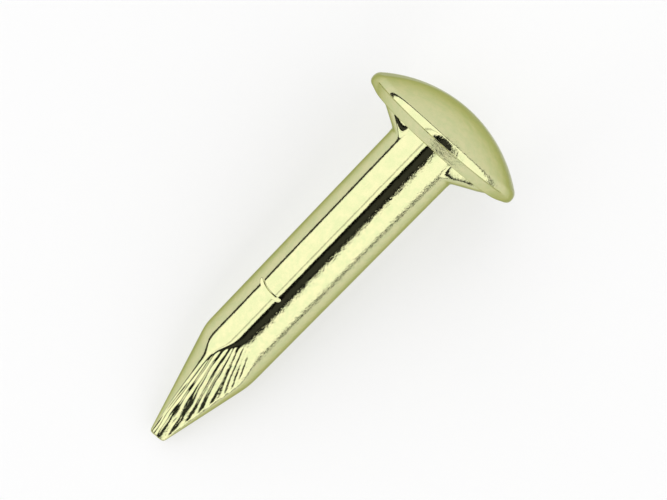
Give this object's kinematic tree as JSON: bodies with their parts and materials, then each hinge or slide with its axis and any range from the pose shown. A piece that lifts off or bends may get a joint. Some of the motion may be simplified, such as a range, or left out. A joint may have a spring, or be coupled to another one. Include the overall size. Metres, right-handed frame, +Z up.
{
  "type": "escutcheon pin",
  "caption": "Short solid nail with a domed round head, a smooth round shank and a faceted point, for pinning thin plates and trim to wood.",
  "frame": {"origin": "centre of the bounding box on the surface that the pin lies on", "axes": "+X along the pin from its point towards its head, +Z up from the surface it lies on; the shank climbs towards the head because the pin lies on its head's edge and on the shoulder of its point"},
  "size_m": [0.0104, 0.004, 0.0039],
  "materials": {
    "brass_plate": "bright electroplated brass over steel wire"
  },
  "bodies": {
    "root": {"pin": "brass_plate"}
  },
  "joints": []
}
